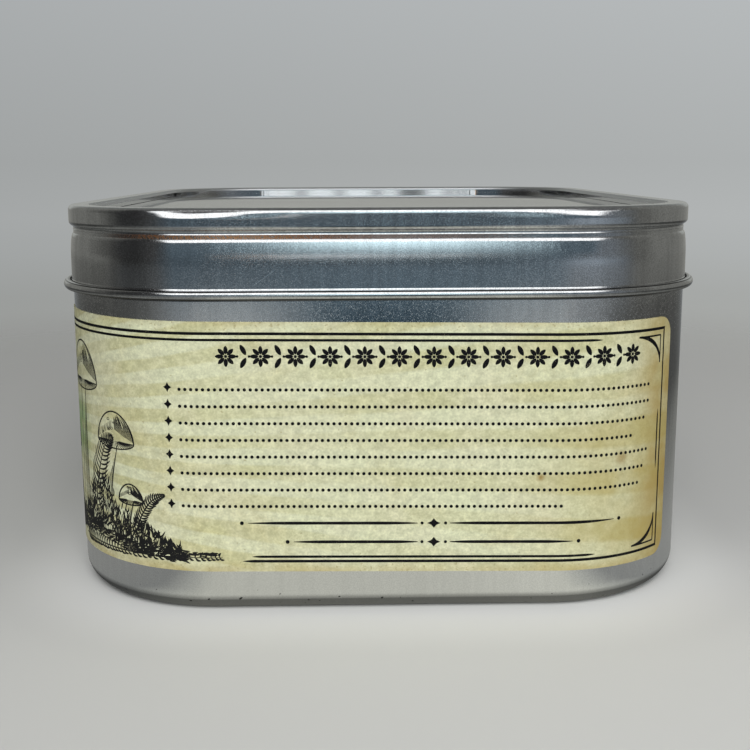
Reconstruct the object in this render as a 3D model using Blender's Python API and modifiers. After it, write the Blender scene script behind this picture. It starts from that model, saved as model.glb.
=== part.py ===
"""Slip-lid tinplate tin with a window in the lid and a paper label round its wall.

Metres, +Z up. The origin is under the middle of the base, the narrow end that carries the
label's right half faces -Y, and the tin's length runs along Y.
"""

import math

import bmesh
import bpy

MM = 0.001

# Tub, measured on its outer faces
BODY_WIDTH = 98.0 * MM
BODY_DEPTH = 132.0 * MM
CORNER_RADIUS = 23.8 * MM
BASE_EDGE_RADIUS = 3.6 * MM
RIM_HEIGHT = 55.2 * MM
SHEET = 0.22 * MM
GAP = 0.3 * MM

# The tub steps in by one gap under the lid, so that the lid's skirt sits almost flush
NECK_BOTTOM = 47.1 * MM
NECK_TOP = 47.9 * MM

# Lid
TIN_HEIGHT = 60.2 * MM
CURL_RADIUS = 0.75 * MM
CURL_CENTRE_HEIGHT = 47.95 * MM
CURL_TURN = math.radians(290.0)
SKIRT_TOP = 55.1 * MM
BAND_BOTTOM = 57.57 * MM
BAND_PROUD = 0.06 * MM
GROOVE_DEPTH = 0.45 * MM
TOP_EDGE_RADIUS = 1.1 * MM
FRAME_WIDTH = 3.7 * MM
RECESS_EDGE_RADIUS = 0.7 * MM

# Window pane, which lies on a narrow flange at the foot of the recess
RECESS_DEPTH = 1.4 * MM
PANE_THICKNESS = 0.5 * MM
FLANGE_WIDTH = 2.3 * MM
FLANGE_BEND_RADIUS = 0.52 * MM

# Paper label
LABEL_BOTTOM = 6.4 * MM
LABEL_TOP = 43.9 * MM
LABEL_THICKNESS = 0.2 * MM
LABEL_END_ARC = 21.6 * MM
LABEL_CORNER_RADIUS = 3.0 * MM
LABEL_SKEW = 0.0096

CORNER_SEGMENTS = 10
BASE_EDGE_SEGMENTS = 4

TIN_COLLECTION = "window_tin"
GUIDE_COLLECTION = "guides"


def clear_scene():
    for thing in list(bpy.data.objects):
        bpy.data.objects.remove(thing, do_unlink=True)


def new_collection(name):
    collection = bpy.data.collections.new(name)
    bpy.context.scene.collection.children.link(collection)
    return collection


def new_material(name, color, roughness, metallic, alpha=1.0):
    material = bpy.data.materials.new(name)
    material.use_nodes = True
    shader = material.node_tree.nodes["Principled BSDF"]
    shader.inputs["Base Color"].default_value = (*color, 1.0)
    shader.inputs["Roughness"].default_value = roughness
    shader.inputs["Metallic"].default_value = metallic
    shader.inputs["Alpha"].default_value = alpha
    material.diffuse_color = (*color, alpha)
    return material


def new_object(name, mesh, collection, material):
    made = bpy.data.objects.new(name, mesh)
    collection.objects.link(made)
    mesh.materials.append(material)
    mesh.shade_smooth()
    mesh.set_sharp_from_angle(angle=math.radians(40.0))
    return made


def add_solidify(made, thickness, side):
    """Turn an open sheet into a wall; side is -1 for behind its faces, +1 for in front."""
    wall = made.modifiers.new("wall", "SOLIDIFY")
    wall.thickness = thickness
    wall.offset = side
    wall.use_even_offset = True
    wall.use_rim = True


def arc(centre, radius, start, sweep, segments):
    """Points along an arc, both ends included."""
    steps = [start + sweep * i / segments for i in range(segments + 1)]
    return [(centre[0] + radius * math.cos(a), centre[1] + radius * math.sin(a)) for a in steps]


def corner_arc(quadrant, outset):
    """The plan's rounded corner that starts at quadrant * 90 degrees, set out from the tub's wall."""
    x_sign = 1 if quadrant in (0, 3) else -1
    y_sign = 1 if quadrant in (0, 1) else -1
    centre = (x_sign * (BODY_WIDTH / 2 - CORNER_RADIUS), y_sign * (BODY_DEPTH / 2 - CORNER_RADIUS))
    start = quadrant * math.pi / 2
    return arc(centre, CORNER_RADIUS + outset, start, math.pi / 2, CORNER_SEGMENTS)


def plan_outline(outset):
    """The rounded rectangle, anticlockwise, set out from the tub's outer face."""
    return [point for quadrant in range(4) for point in corner_arc(quadrant, outset)]


def new_curve(name, points, cyclic, collection):
    """A flat polyline as a guide curve."""
    data = bpy.data.curves.new(name, "CURVE")
    data.dimensions = "2D"
    data.fill_mode = "NONE"
    spline = data.splines.new("POLY")
    spline.points.add(len(points) - 1)
    for point, (x, y) in zip(spline.points, points):
        point.co = (x, y, 0.0, 1.0)
    spline.use_cyclic_u = cyclic
    guide = bpy.data.objects.new(name, data)
    collection.objects.link(guide)
    guide.hide_render = True
    guide.display_type = "WIRE"
    return guide


def mesh_from_curve(guide):
    """The evaluated curve as a plain mesh with its doubles merged."""
    bpy.context.view_layer.update()
    evaluated = guide.evaluated_get(bpy.context.evaluated_depsgraph_get())
    mesh = bpy.data.meshes.new_from_object(evaluated)
    work = bmesh.new()
    work.from_mesh(mesh)
    bmesh.ops.remove_doubles(work, verts=work.verts, dist=0.00001)
    work.to_mesh(mesh)
    work.free()
    return mesh


def sweep_round_plan(name, section, collection):
    """Sweep an open section, given as outset from the tub's wall and height, round the tin's plan."""
    rail = new_curve(name + "_rail", plan_outline(0.0), True, collection)
    inward = [(-outset, height) for outset, height in section]
    profile = new_curve(name + "_section", inward, False, collection)
    rail.data.bevel_mode = "OBJECT"
    rail.data.bevel_object = profile
    mesh = mesh_from_curve(rail)
    bpy.data.objects.remove(rail, do_unlink=True)
    bpy.data.objects.remove(profile, do_unlink=True)
    return mesh


def rounded_block(width, depth, bottom, top, corner_radius):
    """A box with its four upright edges rounded, as a bmesh."""
    work = bmesh.new()
    bmesh.ops.create_cube(work, size=1.0)
    height = top - bottom
    bmesh.ops.scale(work, verts=work.verts, vec=(width, depth, height))
    bmesh.ops.translate(work, verts=work.verts, vec=(0.0, 0.0, bottom + height / 2))
    upright = [edge for edge in work.edges if abs(edge.verts[0].co.z - edge.verts[1].co.z) > height / 2]
    bmesh.ops.bevel(
        work,
        geom=upright,
        offset=corner_radius,
        offset_type="OFFSET",
        segments=CORNER_SEGMENTS,
        profile=0.5,
        affect="EDGES",
        clamp_overlap=True,
    )
    return work


def flat_faces_at(work, height):
    return [face for face in work.faces if all(abs(vert.co.z - height) < 1e-6 for vert in face.verts)]


def build_body(collection, material):
    """The drawn tub: rounded base edge, straight wall, necked rim, open at the top."""
    work = rounded_block(BODY_WIDTH, BODY_DEPTH, 0.0, NECK_BOTTOM, CORNER_RADIUS)
    base_loop = [edge for face in flat_faces_at(work, 0.0) for edge in face.edges]
    bmesh.ops.bevel(
        work,
        geom=base_loop,
        offset=BASE_EDGE_RADIUS,
        offset_type="OFFSET",
        segments=BASE_EDGE_SEGMENTS,
        profile=0.5,
        affect="EDGES",
    )
    cap = flat_faces_at(work, NECK_BOTTOM)
    bmesh.ops.delete(work, geom=cap, context="FACES_ONLY")
    for height, inset in ((NECK_TOP, GAP), (RIM_HEIGHT, 0.0)):
        rim = [edge for edge in work.edges if edge.is_boundary]
        raised = bmesh.ops.extrude_edge_only(work, edges=rim)["geom"]
        verts = [item for item in raised if isinstance(item, bmesh.types.BMVert)]
        for vert in verts:
            vert.co = necked_point(vert.co, inset, height)
    bmesh.ops.recalc_face_normals(work, faces=work.faces)
    mesh = bpy.data.meshes.new("tin_body")
    work.to_mesh(mesh)
    work.free()
    body = new_object("tin_body", mesh, collection, material)
    add_solidify(body, SHEET, -1)
    return body


def necked_point(point, inset, height):
    """A point on the plan's outline moved in by inset, towards its own corner's centre or side."""
    centre_x = BODY_WIDTH / 2 - CORNER_RADIUS
    centre_y = BODY_DEPTH / 2 - CORNER_RADIUS
    core = (max(-centre_x, min(centre_x, point.x)), max(-centre_y, min(centre_y, point.y)))
    away = (point.x - core[0], point.y - core[1])
    keep = (math.hypot(*away) - inset) / math.hypot(*away)
    return (core[0] + away[0] * keep, core[1] + away[1] * keep, height)


def s_bend(outset, height, step, radius_first, radius_second, segments):
    """Two opposite arcs down a wall that shift it outwards by step (inwards if negative)."""
    turn = math.acos(1.0 - abs(step) / (radius_first + radius_second))
    side = 1.0 if step > 0 else -1.0
    points = []
    for i in range(segments + 1):
        a = turn * i / segments
        points.append((outset + side * radius_first * (1 - math.cos(a)), height - radius_first * math.sin(a)))
    middle_out = outset + side * radius_first * (1 - math.cos(turn))
    middle_height = height - radius_first * math.sin(turn)
    for i in range(1, segments + 1):
        a = turn * (1 - i / segments)
        dx = radius_second * (math.cos(a) - math.cos(turn))
        dz = radius_second * (math.sin(turn) - math.sin(a))
        points.append((middle_out + side * dx, middle_height - dz))
    return points


def lid_section():
    """The lid's under face from the window flange, over the frame and down the skirt to the curl."""
    flange_face = TIN_HEIGHT - RECESS_DEPTH - PANE_THICKNESS - GAP - SHEET
    recess_face = SHEET + BAND_PROUD - FRAME_WIDTH + SHEET
    band_face = BAND_PROUD
    groove_face = BAND_PROUD - GROOVE_DEPTH
    skirt_face = 0.0
    frame_face = TIN_HEIGHT - SHEET
    bend = FLANGE_BEND_RADIUS
    inner = RECESS_EDGE_RADIUS - SHEET
    outer = TOP_EDGE_RADIUS - SHEET

    points = [(recess_face - FLANGE_WIDTH, flange_face)]
    points += arc((recess_face - bend, flange_face + bend), bend, -math.pi / 2, math.pi / 2, 3)
    points += arc((recess_face + inner, frame_face - inner), inner, math.pi, -math.pi / 2, 3)
    points += arc((band_face - outer, frame_face - outer), outer, math.pi / 2, -math.pi / 2, 4)
    points += s_bend(band_face, BAND_BOTTOM, groove_face - band_face, 0.58 * MM, 0.67 * MM, 2)
    rise = s_bend(groove_face, 0.0, skirt_face - groove_face, 0.67 * MM, 0.48 * MM, 2)
    lift = SKIRT_TOP - rise[-1][1]
    points += [(outset, height + lift) for outset, height in rise]
    points += arc((skirt_face + CURL_RADIUS, CURL_CENTRE_HEIGHT), CURL_RADIUS, math.pi, CURL_TURN, 9)
    return points


def build_lid(collection, guides, material):
    mesh = sweep_round_plan("tin_lid", lid_section(), guides)
    lid = new_object("tin_lid", mesh, collection, material)
    add_solidify(lid, SHEET, -1)
    return lid


def build_window(collection, material):
    """The clear pane, as large as the recess less a gap all round."""
    inset = FRAME_WIDTH - SHEET - BAND_PROUD + GAP
    top = TIN_HEIGHT - RECESS_DEPTH
    work = rounded_block(
        BODY_WIDTH - 2 * inset,
        BODY_DEPTH - 2 * inset,
        top - PANE_THICKNESS,
        top,
        CORNER_RADIUS - inset,
    )
    mesh = bpy.data.meshes.new("lid_window")
    work.to_mesh(mesh)
    work.free()
    return new_object("lid_window", mesh, collection, material)


def label_path(outset):
    """The label's way round the wall: near right corner, near end, left side, far end, far right corner."""
    sweep = LABEL_END_ARC / CORNER_RADIUS
    centre = (BODY_WIDTH / 2 - CORNER_RADIUS, CORNER_RADIUS - BODY_DEPTH / 2)
    radius = CORNER_RADIUS + outset
    near_end = arc(centre, radius, sweep - math.pi / 2, -sweep, 5)
    near_left = corner_arc(2, outset)[::-1]
    far_left = corner_arc(1, outset)[::-1]
    far_end = [(x, -y) for x, y in near_end[::-1]]
    return near_end + near_left + far_left + far_end


def build_label(collection, guides, material):
    """A paper band of one thickness, its ends rounded, stuck on very slightly skew."""
    guide = new_curve("label_guide", label_path(GAP), False, guides)
    guide.data.extrude = (LABEL_TOP - LABEL_BOTTOM) / 2
    mesh = mesh_from_curve(guide)
    bpy.data.objects.remove(guide, do_unlink=True)

    work = bmesh.new()
    work.from_mesh(mesh)
    ends = [vert for vert in work.verts if len(vert.link_edges) == 2]
    bmesh.ops.bevel(
        work,
        geom=ends,
        offset=LABEL_CORNER_RADIUS,
        offset_type="OFFSET",
        segments=4,
        profile=0.5,
        affect="VERTICES",
    )
    for vert in work.verts:
        vert.co.z += (LABEL_TOP + LABEL_BOTTOM) / 2 - LABEL_SKEW * vert.co.x
    work.to_mesh(mesh)
    work.free()
    label = new_object("paper_label", mesh, collection, material)
    add_solidify(label, LABEL_THICKNESS, 1)
    return label


def main():
    clear_scene()
    tin = new_collection(TIN_COLLECTION)
    guides = new_collection(GUIDE_COLLECTION)
    tinplate_tub = new_material("satin_tinplate", (0.50, 0.51, 0.52), 0.38, 1.0)
    tinplate_lid = new_material("bright_tinplate", (0.58, 0.60, 0.62), 0.24, 1.0)
    clear_plastic = new_material("clear_plastic", (0.92, 0.94, 0.94), 0.05, 0.0, 0.25)
    label_paper = new_material("label_paper", (0.72, 0.68, 0.44), 0.62, 0.0)
    build_body(tin, tinplate_tub)
    build_lid(tin, guides, tinplate_lid)
    build_window(tin, clear_plastic)
    build_label(tin, guides, label_paper)


main()
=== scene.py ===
"""Finish and studio for the slip-lid window tin: pressed tinplate, clear pane, printed paper label.

Metres, +Z up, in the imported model's own frame: the narrow end that the camera faces looks along -Y.
"""

import math
import random

import bmesh
import bpy
from mathutils import Matrix, Vector


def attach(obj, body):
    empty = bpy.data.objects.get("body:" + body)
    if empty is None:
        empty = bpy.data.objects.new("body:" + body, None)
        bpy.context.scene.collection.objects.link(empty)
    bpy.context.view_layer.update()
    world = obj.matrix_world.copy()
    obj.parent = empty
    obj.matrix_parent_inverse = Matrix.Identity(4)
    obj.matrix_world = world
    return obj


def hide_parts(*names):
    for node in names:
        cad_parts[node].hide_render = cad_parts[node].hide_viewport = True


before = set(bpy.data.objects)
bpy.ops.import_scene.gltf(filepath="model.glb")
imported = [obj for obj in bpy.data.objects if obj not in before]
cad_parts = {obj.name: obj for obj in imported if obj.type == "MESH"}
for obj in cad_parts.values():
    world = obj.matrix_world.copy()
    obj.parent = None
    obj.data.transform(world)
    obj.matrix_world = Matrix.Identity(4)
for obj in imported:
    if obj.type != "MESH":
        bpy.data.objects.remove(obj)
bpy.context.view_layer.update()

MM = 0.001

# Tub, on its outer faces
BODY_WIDTH = 98.0 * MM
BODY_DEPTH = 132.0 * MM
CORNER_RADIUS = 23.8 * MM
BASE_EDGE_RADIUS = 3.6 * MM
RIM_HEIGHT = 55.2 * MM
SHEET = 0.22 * MM
GAP = 0.3 * MM
NECK_BOTTOM = 47.1 * MM
NECK_TOP = 47.9 * MM
# the middle of the plan's corner arc that has positive x and y
CORE = (BODY_WIDTH / 2 - CORNER_RADIUS, BODY_DEPTH / 2 - CORNER_RADIUS)

# Lid; the curl is a little under the frame's radius, so that the round one stays within its facets' reach
TIN_HEIGHT = 60.2 * MM
CURL_RADIUS = 0.739 * MM
CURL_CENTRE_HEIGHT = 47.94 * MM
CURL_TURN = math.radians(290.0)
SKIRT_TOP = 55.20 * MM
SKIRT_LEAN = math.tan(math.radians(0.5))
SKIRT_CROWN_HEIGHT = 3.9 * MM
SKIRT_CROWN_TILT = math.radians(9.0)
SHOULDER_RADIUS = 1.1 * MM
SHOULDER_TILT = math.radians(40.0)
SHOULDER_FOOT = 0.2 * MM
BAND_BOTTOM = 57.66 * MM
BAND_PROUD = 0.06 * MM
BAND_BEND = 0.5 * MM
GROOVE_DEPTH = 0.64 * MM
TOP_EDGE_RADIUS = 0.8 * MM
FRAME_WIDTH = 3.7 * MM
RECESS_EDGE_RADIUS = 0.7 * MM
RECESS_DEPTH = 1.4 * MM
PANE_THICKNESS = 0.5 * MM
PANE_EDGE = 0.06 * MM
FLANGE_WIDTH = 2.3 * MM
FLANGE_BEND_RADIUS = 0.52 * MM
CORNER_STEPS = 40
# height, reach above and below it, and how far the ledge stands out
LID_LEDGES = ((56.42 * MM, 0.15 * MM, 0.05 * MM, 0.06 * MM), (48.62 * MM, 0.18 * MM, 0.04 * MM, 0.08 * MM))
EASED_FROM = 58.6 * MM
EASED_TO = 59.75 * MM
# middle, half length, and how far the edge goes in: as a soft slope, and as one that steepens upwards
EASED_AT = (
    (-28.2 * MM, 4.6 * MM, 0.30 * MM, 0.05 * MM),
    (-23.0 * MM, 6.5 * MM, 0.05 * MM, 0.24 * MM),
    (27.0 * MM, 8.0 * MM, 0.10 * MM, 0.16 * MM),
    (32.0 * MM, 3.4 * MM, 0.10 * MM, 0.06 * MM),
)

# Paper label, in distance along the wall from the middle of the near end (right is positive) and height
LABEL_BOTTOM = 6.4 * MM
LABEL_TOP = 43.9 * MM
LABEL_END_ARC = 21.6 * MM
LABEL_CORNER_RADIUS = 3.0 * MM
LABEL_SKEW = 0.0096
PAPER_BACK = 0.03 * MM
PAPER_THICKNESS = 0.12 * MM
INK_ROOT = 0.04 * MM
INK_HEIGHT = 0.014 * MM
PANEL_HEIGHT = 0.006 * MM

FLAT_END = BODY_WIDTH - 2 * CORNER_RADIUS
FLAT_SIDE = BODY_DEPTH - 2 * CORNER_RADIUS
CORNER_LENGTH = CORNER_RADIUS * math.pi / 2
HALF_ROUND = FLAT_END + FLAT_SIDE + 2 * CORNER_LENGTH
LABEL_RIGHT = FLAT_END / 2 + LABEL_END_ARC
LABEL_LEFT = -HALF_ROUND - LABEL_RIGHT
CORNER_FACET = 0.6 * MM

# Printed border of each end
RULE_TOP = 42.2 * MM
RULE_BOTTOM = 8.0 * MM
RULE_RIGHT = 44.55 * MM
RULE_WIDTH = 0.42 * MM
FINE_RULE_WIDTH = 0.37 * MM
FINE_RULE_INSET = 0.92 * MM

# Field of the long side
SIDE_MIDDLE = -HALF_ROUND / 2
PANEL_HALF = 38.0 * MM
PANEL_BOTTOM = 9.6 * MM
PANEL_TOP = 40.7 * MM
PANEL_MIDDLE = (PANEL_TOP + PANEL_BOTTOM) / 2
NOTCH = 3.4 * MM
OVAL = (22.0 * MM, 10.8 * MM)

# Camera, solved from the tin's outlines
CAMERA_PLACE = (-4.634 * MM, -226.19 * MM, 66.5 * MM)
CAMERA_PITCH = math.radians(10.705)
CAMERA_YAW = math.radians(1.213)
CAMERA_ROLL = math.radians(-0.22)
CAMERA_LENS = 54.12
SENSOR_WIDTH = 36.0

# Studio
STUDIO_STRENGTH = 1.8
# floor colours in front of the tin and behind it: the darker back is painted shade
FLOOR_FRONT = 0.60
FLOOR_BACK = 0.475
WHITE_LAMP = (1.60, 1.68, 1.70)
WARM_LAMP = (1.45, 0.90, 0.55)
UNLIT = (0.16, 0.165, 0.16)
# Lamps far off in front, low down, that the recess's far wall mirrors: from and to in degrees, and colour
LAMPS = (
    (-4.9, -4.25, WARM_LAMP), (-4.2, -2.7, WHITE_LAMP), (-2.2, -0.75, WHITE_LAMP), (-0.3, 1.1, WHITE_LAMP),
    (1.6, 2.4, WHITE_LAMP), (3.8, 4.7, WHITE_LAMP), (5.1, 5.5, WHITE_LAMP),
)

BLACK = (0.02, 0.02, 0.02)
WHITE = (1.0, 1.0, 1.0)


# ---------------- nodes

class Value:
    """An output in a node tree; sums and products with it add Math nodes."""

    def __init__(self, tree, socket):
        self.tree = tree
        self.socket = socket

    def __add__(self, other):
        return calc("ADD", self, other)

    def __sub__(self, other):
        return calc("SUBTRACT", self, other)

    def __rsub__(self, other):
        return calc("SUBTRACT", other, self)

    def __mul__(self, other):
        return calc("MULTIPLY", self, other)

    def __truediv__(self, other):
        return calc("DIVIDE", self, other)

    def __abs__(self):
        return calc("ABSOLUTE", self)

    def vector(self, operation, *others, output=0):
        """A Vector Math node's result; its output 1 is a plain number."""
        values = dict(enumerate((self, *others)))
        return result(self.tree, "ShaderNodeVectorMath", values, output, operation=operation)


def fill(node, values):
    """Set a node's inputs, linking those that are a Value."""
    for key, value in values.items():
        if isinstance(value, Value):
            value.tree.links.new(value.socket, node.inputs[key])
        else:
            node.inputs[key].default_value = value
    return node


def put_node(tree, kind, values=None, **settings):
    made = tree.nodes.new(kind)
    for name, value in settings.items():
        setattr(made, name, value)
    return fill(made, values or {})


def result(tree, kind, values=None, output=0, **settings):
    """One output of a new node."""
    return Value(tree, put_node(tree, kind, values, **settings).outputs[output])


def tree_of(*values):
    return next(value.tree for value in values if isinstance(value, Value))


def calc(operation, *values):
    """One Math node's result."""
    return result(tree_of(*values), "ShaderNodeMath", dict(enumerate(values)), operation=operation)


def highest(first, *others):
    """The greatest of several numbers."""
    for other in others:
        first = calc("MAXIMUM", first, other)
    return first


def step(value, low, high, to_low=0.0, to_high=1.0, shape="SMOOTHSTEP"):
    """A step of value from low to high, smooth unless shape says otherwise."""
    values = {"Value": value, "From Min": low, "From Max": high, "To Min": to_low, "To Max": to_high}
    return result(value.tree, "ShaderNodeMapRange", values, interpolation_type=shape)


def within(value, *limits):
    """1 between the inner two of four limits, falling smoothly to 0 at the outer two."""
    return step(value, *limits[:2]) * step(value, *limits[:1:-1])


def blend(factor, first, second):
    """Between two numbers."""
    return result(factor.tree, "ShaderNodeMix", {0: factor, 2: first, 3: second})


def mix(factor, first, second, kind="MIX"):
    """Between two colours, each a Value or (r, g, b)."""
    pair = [colour if isinstance(colour, Value) else (*colour, 1.0) for colour in (first, second)]
    values = {0: factor, 6: pair[0], 7: pair[1]}
    tree = tree_of(factor, first, second)
    return result(tree, "ShaderNodeMix", values, 2, data_type="RGBA", blend_type=kind)


def shaded(colour, by):
    """A colour multiplied by a number or another colour."""
    return mix(1.0, colour, by, "MULTIPLY")


def ramp(value, stops):
    """A colour ramp with (position, (r, g, b)) stops."""
    made = put_node(value.tree, "ShaderNodeValToRGB", {"Fac": value})
    elements = made.color_ramp.elements
    elements.remove(elements[1])
    elements[0].position = stops[0][0]
    elements[0].color = (*stops[0][1], 1.0)
    for position, colour in stops[1:]:
        elements.new(position).color = (*colour, 1.0)
    return Value(value.tree, made.outputs[0])


def noise(vector, scale, detail=2.0, roughness=0.5, distortion=0.0):
    values = {"Vector": vector, "Scale": scale, "Detail": detail, "Roughness": roughness}
    return result(vector.tree, "ShaderNodeTexNoise", {**values, "Distortion": distortion})


def stretched(vector, scale, turn=(0.0, 0.0, 0.0)):
    """Coordinates turned and scaled unevenly, for streaks."""
    turned = result(vector.tree, "ShaderNodeMapping", {"Vector": vector, "Rotation": turn})
    return result(vector.tree, "ShaderNodeMapping", {"Vector": turned, "Scale": scale})


def relief(height, distance, strength=1.0):
    """A normal bent by a height."""
    values = {"Strength": strength, "Distance": distance, "Height": height}
    return result(height.tree, "ShaderNodeBump", values)


def split(vector):
    parts = put_node(vector.tree, "ShaderNodeSeparateXYZ", {0: vector}).outputs
    return [Value(vector.tree, part) for part in parts]


def in_mm(place):
    """A place's x, y and z, and how far it is outside the tub's plan, in millimetres."""
    flat = place.vector("ABSOLUTE").vector("MULTIPLY", (1.0, 1.0, 0.0))
    past = flat.vector("SUBTRACT", (*CORE, 0.0)).vector("MAXIMUM", (0.0, 0.0, 0.0))
    outset = past.vector("LENGTH", output=1) - CORNER_RADIUS
    return [part / MM for part in (*split(place), outset)]


def new_tree(kind, name, inputs, outputs):
    """A named tree with its sockets; returns it, its inputs as Values, and its Group Output node."""
    tree = bpy.data.node_groups.new(name, kind)
    for in_out, sockets in (("OUTPUT", outputs), ("INPUT", inputs)):
        for label, socket in sockets.items():
            tree.interface.new_socket(name=label, in_out=in_out, socket_type="NodeSocket" + socket)
    source = tree.nodes.new("NodeGroupInput").outputs
    return tree, {label: Value(tree, source[label]) for label in inputs}, tree.nodes.new("NodeGroupOutput")


def use_group(group, values):
    tree = tree_of(*values.values())
    made = put_node(tree, "ShaderNodeGroup", values, node_tree=group)
    return {socket.name: Value(tree, socket) for socket in made.outputs}


def new_material(name):
    """A material, its Principled shader and its Object coordinates."""
    material = bpy.data.materials.new(name)
    material.use_nodes = True
    tree = material.node_tree
    return material, tree.nodes["Principled BSDF"], result(tree, "ShaderNodeTexCoord", output="Object")


# ---------------- meshes

def around(centre, reach, angle, reach_up=None):
    """The point at an angle on a circle, or on an oval whose second half axis is reach_up."""
    reach_up = reach if reach_up is None else reach_up
    return centre[0] + reach * math.cos(angle), centre[1] + reach_up * math.sin(angle)


def arc(centre, radius, start, sweep, segments):
    """Points along an arc, both ends included."""
    return [around(centre, radius, start + sweep * i / segments) for i in range(segments + 1)]


def show(name, data):
    """A new object in the scene."""
    made = bpy.data.objects.new(name, data)
    bpy.context.scene.collection.objects.link(made)
    return made


def take_mesh(work, name):
    """What a bmesh holds, as a new mesh; the bmesh goes."""
    mesh = bpy.data.meshes.new(name)
    work.to_mesh(mesh)
    work.free()
    return mesh


def smooth(mesh, degrees=40.0):
    mesh.shade_smooth()
    mesh.set_sharp_from_angle(angle=math.radians(degrees))


def new_piece(name, mesh, material, smooth_degrees=40.0):
    mesh.materials.clear()
    mesh.materials.append(material)
    smooth(mesh, smooth_degrees)
    return show(name, mesh)


def plain_mesh(made):
    """The evaluated object as a mesh of its own; the object with its modifiers goes."""
    bpy.context.view_layer.update()
    evaluated = made.evaluated_get(bpy.context.evaluated_depsgraph_get())
    mesh = bpy.data.meshes.new_from_object(evaluated)
    bpy.data.objects.remove(made, do_unlink=True)
    return mesh


def nodes_result(name, tree, values):
    """What a geometry-nodes tree makes from these inputs, as a mesh."""
    holder = show(name, bpy.data.meshes.new(name))
    modifier = holder.modifiers.new(name, "NODES")
    modifier.node_group = tree
    for item in tree.interface.items_tree:
        if item.in_out == "INPUT" and item.name in values:
            modifier[item.identifier] = values[item.name]
    return plain_mesh(holder)


def with_wall(name, mesh, material, thickness, offset):
    """The open sheet given its thickness, as a finished piece."""
    made = new_piece(name, mesh, material)
    wall = made.modifiers.new("wall", "SOLIDIFY")
    wall.thickness = thickness
    wall.offset = offset
    wall.use_even_offset = True
    return new_piece(name, plain_mesh(made), material)


# ---------------- shared finishes

def dashes(place, across, along, degrees):
    """Separate short slanted marks, thinned out at random."""
    slanted = stretched(place, (1.0 / across, 900.0, 1.0 / along), (0.0, math.radians(degrees), 0.0))
    cells = put_node(place.tree, "ShaderNodeTexVoronoi", {"Vector": slanted, "Scale": 1.0}).outputs
    distance, colour = (Value(place.tree, cells[name]) for name in ("Distance", "Color"))
    return step(distance, 0.36, 0.16) * step(split(colour)[0], 0.15, 0.60)


def make_grain_group():
    """Tinplate's grain: fine speckle, faint upright streaks, and short rub marks crossing both ways."""
    inputs = {"Place": "Vector", "Speckle Size": "Float"}
    outputs = {"Speckle": "Float", "Streak": "Float", "Rub": "Float"}
    tree, given, out = new_tree("ShaderNodeTree", "tin_grain", inputs, outputs)
    place = given["Place"]
    fill(out, {
        "Speckle": noise(place, calc("DIVIDE", 1.0, given["Speckle Size"]), 1.0, 0.7),
        "Streak": noise(stretched(place, (620.0, 620.0, 40.0)), 1.0, 3.0, 0.6),
        "Rub": highest(dashes(place, 0.16 * MM, 0.6 * MM, 42.0), dashes(place, 0.16 * MM, 0.5 * MM, -38.0)),
    })
    return tree


def make_scratch_group():
    """A straight scratch on the near end, between two points given as (x, 0, z)."""
    inputs = {"Place": "Vector", "From": "Vector", "To": "Vector", "Half Width": "Float"}
    tree, given, out = new_tree("ShaderNodeTree", "straight_scratch", inputs, {"Mask": "Float"})
    place = given["Place"]
    run = given["To"].vector("SUBTRACT", given["From"])
    out_to = place.vector("MULTIPLY", (1.0, 0.0, 1.0)).vector("SUBTRACT", given["From"])
    share = out_to.vector("DOT_PRODUCT", run, output=1) / run.vector("DOT_PRODUCT", run, output=1)
    nearest = run.vector("MULTIPLY", result(tree, "ShaderNodeClamp", {"Value": share}))
    away = out_to.vector("DISTANCE", nearest, output=1)
    on_near_end = calc("LESS_THAN", split(place)[1], 2.0 * MM - BODY_DEPTH / 2)
    fill(out, {"Mask": step(away, 0.0, given["Half Width"], 1.0, 0.0) * on_near_end})
    return tree


def make_wear_group():
    """Where printer's ink has rubbed thin."""
    inputs = {"Place": "Vector", "Amount": "Float"}
    tree, given, out = new_tree("ShaderNodeTree", "rubbed_ink", inputs, {"Mask": "Float"})
    both = noise(given["Place"], 620.0, 2.0) * 0.6 + noise(given["Place"], 5200.0, 2.0, 0.6)
    limit = 1.08 - given["Amount"]
    fill(out, {"Mask": step(both, limit, limit + 0.1)})
    return tree


GRAIN = make_grain_group()
SCRATCH = make_scratch_group()
RUBBED = make_wear_group()


# ---------------- tinplate and pane

def tinplate(name, colour, calm):
    """Bright tinned steel; calm gives the share by which the grain fades at x, y, z and outset."""
    material, shader, place = new_material(name)
    spot = in_mm(place)
    grain = use_group(GRAIN, {"Place": place, "Speckle Size": 0.17 * MM})
    grained = 1.0 - calm(*spot)
    dim = [0.80 * part for part in colour]
    bright = [min(1.0, 1.18 * part) for part in colour]
    base = mix(grained, colour, mix(step(grain["Speckle"], 0.3, 0.7), dim, bright))
    base = mix(grained, base, shaded(base, step(grain["Streak"], 0.3, 0.7, 0.92, 1.08)))
    rough = step(grain["Speckle"], 0.50, 0.75, 0.12, 0.22)
    fill(shader, {"Metallic": 1.0, "Normal": relief(grain["Speckle"] * grained, 0.0025 * MM)})
    return material, shader, place, spot, base, rough, grain["Rub"]


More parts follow.
